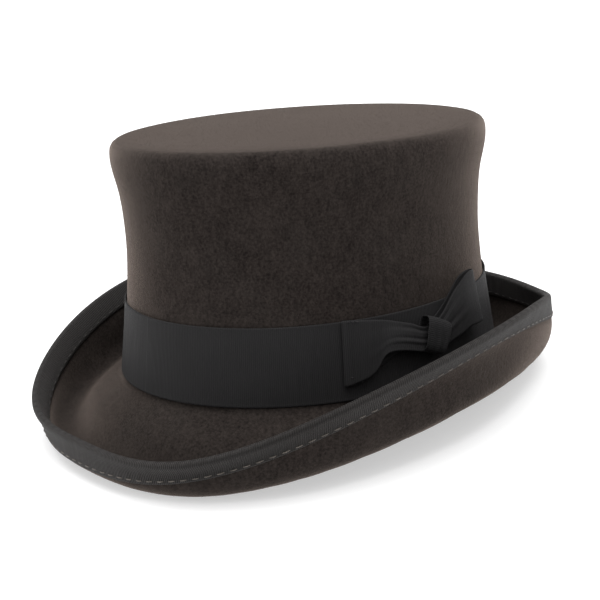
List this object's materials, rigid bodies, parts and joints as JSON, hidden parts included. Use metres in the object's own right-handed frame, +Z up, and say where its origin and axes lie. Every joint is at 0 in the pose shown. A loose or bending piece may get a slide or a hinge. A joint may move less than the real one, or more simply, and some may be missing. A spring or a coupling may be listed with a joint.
{
  "type": "top hat",
  "caption": "Low-crowned felt top hat with a waisted crown, ribbed ribbon band and side bow, and a bound brim that dips front and back and rolls up at the sides.",
  "frame": {"origin": "centre of the bounding box on the ground, where the brim's front and back dips rest", "axes": "+Z up, -Y is the front of the hat, +X is the wearer's left, the side with the bow; the crown leans back by 3.9 degrees about X"},
  "size_m": [0.2626, 0.2841, 0.1532],
  "materials": {
    "felt": "brushed wool felt",
    "ribbon": "ribbed grosgrain",
    "thread": "matt thread",
    "dark_thread": "matt thread",
    "satin": "satin",
    "leather": "semi-matt leather",
    "tape": "woven tape",
    "tab": "woven label, blank"
  },
  "bodies": {
    "root": {"felt_body": "felt", "brim_binding": "ribbon", "binding_stitches": "thread", "hat_band": "ribbon", "bow_loops": "ribbon", "bow_knot": "ribbon", "bow_tacks": "dark_thread", "lining_side": "satin", "lining_tip": "satin", "lining_cord": "satin", "sweatband": "leather", "sweatband_reed": "leather", "sweatband_stitches": "dark_thread", "seam_tape": "tape", "small_bow": "tape", "size_tab": "tab"}
  },
  "joints": []
}
